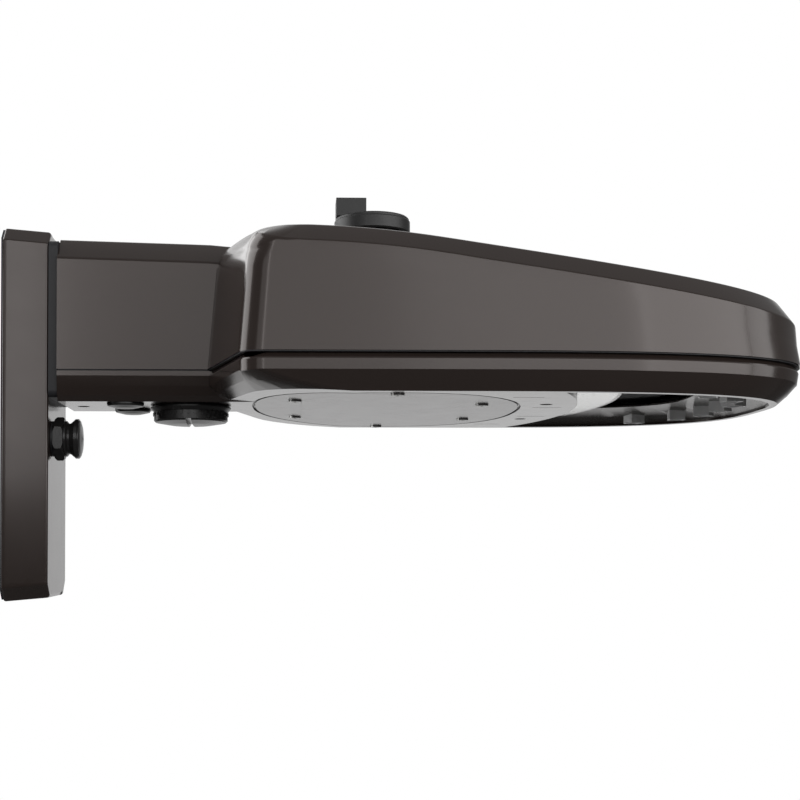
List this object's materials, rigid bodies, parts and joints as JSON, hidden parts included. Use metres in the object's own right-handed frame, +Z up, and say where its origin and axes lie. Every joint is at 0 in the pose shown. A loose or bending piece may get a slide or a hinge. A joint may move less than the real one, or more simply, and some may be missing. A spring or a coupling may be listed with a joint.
{
  "type": "arm-mounted outdoor wall pack light",
  "caption": "Outdoor LED wall light: flat wall plate, deep hollow arm and broad cast head sloping to a rounded nose, lit from below, with a turning photocontrol on top.",
  "frame": {"origin": "centre of the wall plate's four anchor holes, on the wall plane at the back of its gasket", "axes": "+X straight out from the wall towards the nose, +Z up, +Y to the left of someone who faces the wall"},
  "size_m": [0.579, 0.3, 0.299],
  "materials": {
    "bronze_paint": "dark bronze powder coat, half gloss, fine texture",
    "door_paint": "dark bronze powder coat, half gloss",
    "deck_paint": "dark grey-bronze paint, matte",
    "zinc_steel": "zinc plated, dull",
    "seals": "black closed-cell rubber",
    "black_plastic": "black moulded plastic, half matte",
    "control_plastic": "charcoal moulded plastic",
    "pale_plastic": "pale moulded plastic",
    "driver_case": "white painted steel case",
    "dark_aluminium": "black anodised fins",
    "board": "white solder mask",
    "chips": "yellow phosphor",
    "bright_chrome": "mirror-bright metallised cups",
    "bright_aluminium": "bright hammered reflector sheet",
    "contact_brass": "plain brass blades",
    "wire_cover": "black wire covers"
  },
  "bodies": {
    "lamp": {"wall_gasket": "seals", "back_plate": "zinc_steel", "wall_plate": "bronze_paint", "cover_screws": "zinc_steel", "eye_washer": "seals", "eye_nut": "black_plastic", "eye_body": "black_plastic", "eye_lens": "black_plastic", "neck_packing": "seals", "arm_bolts": "zinc_steel", "upper_housing": "bronze_paint", "lower_frame": "bronze_paint", "housing_seal": "seals", "frame_screws": "zinc_steel", "service_door": "door_paint", "door_gasket": "seals", "door_screws": "zinc_steel", "gear_tray": "zinc_steel", "led_driver": "driver_case", "driver_screws": "zinc_steel", "surge_protector": "black_plastic", "terminal_block": "pale_plastic", "ground_screw": "zinc_steel", "heat_sink": "dark_aluminium", "led_boards": "board", "led_chips": "chips", "optic_deck": "deck_paint", "reflector_cups": "bright_chrome", "glow_strip": "bright_aluminium", "socket_gasket": "seals", "socket_ring": "black_plastic", "access_plug": "black_plastic", "plug_ring": "seals", "small_plugs": "black_plastic", "supply_wires": "wire_cover"},
    "photocontrol": {"control_socket": "black_plastic", "control_blades": "contact_brass", "control_disc": "control_plastic", "control_block": "control_plastic"}
  },
  "joints": [
    {"name": "photocontrol_turn", "type": "hinge", "parent": "lamp", "child": "photocontrol", "pos_m": [0.27, 0, 0.127], "axis": [0, 0, 1], "range_deg": [-175, 175]}
  ]
}
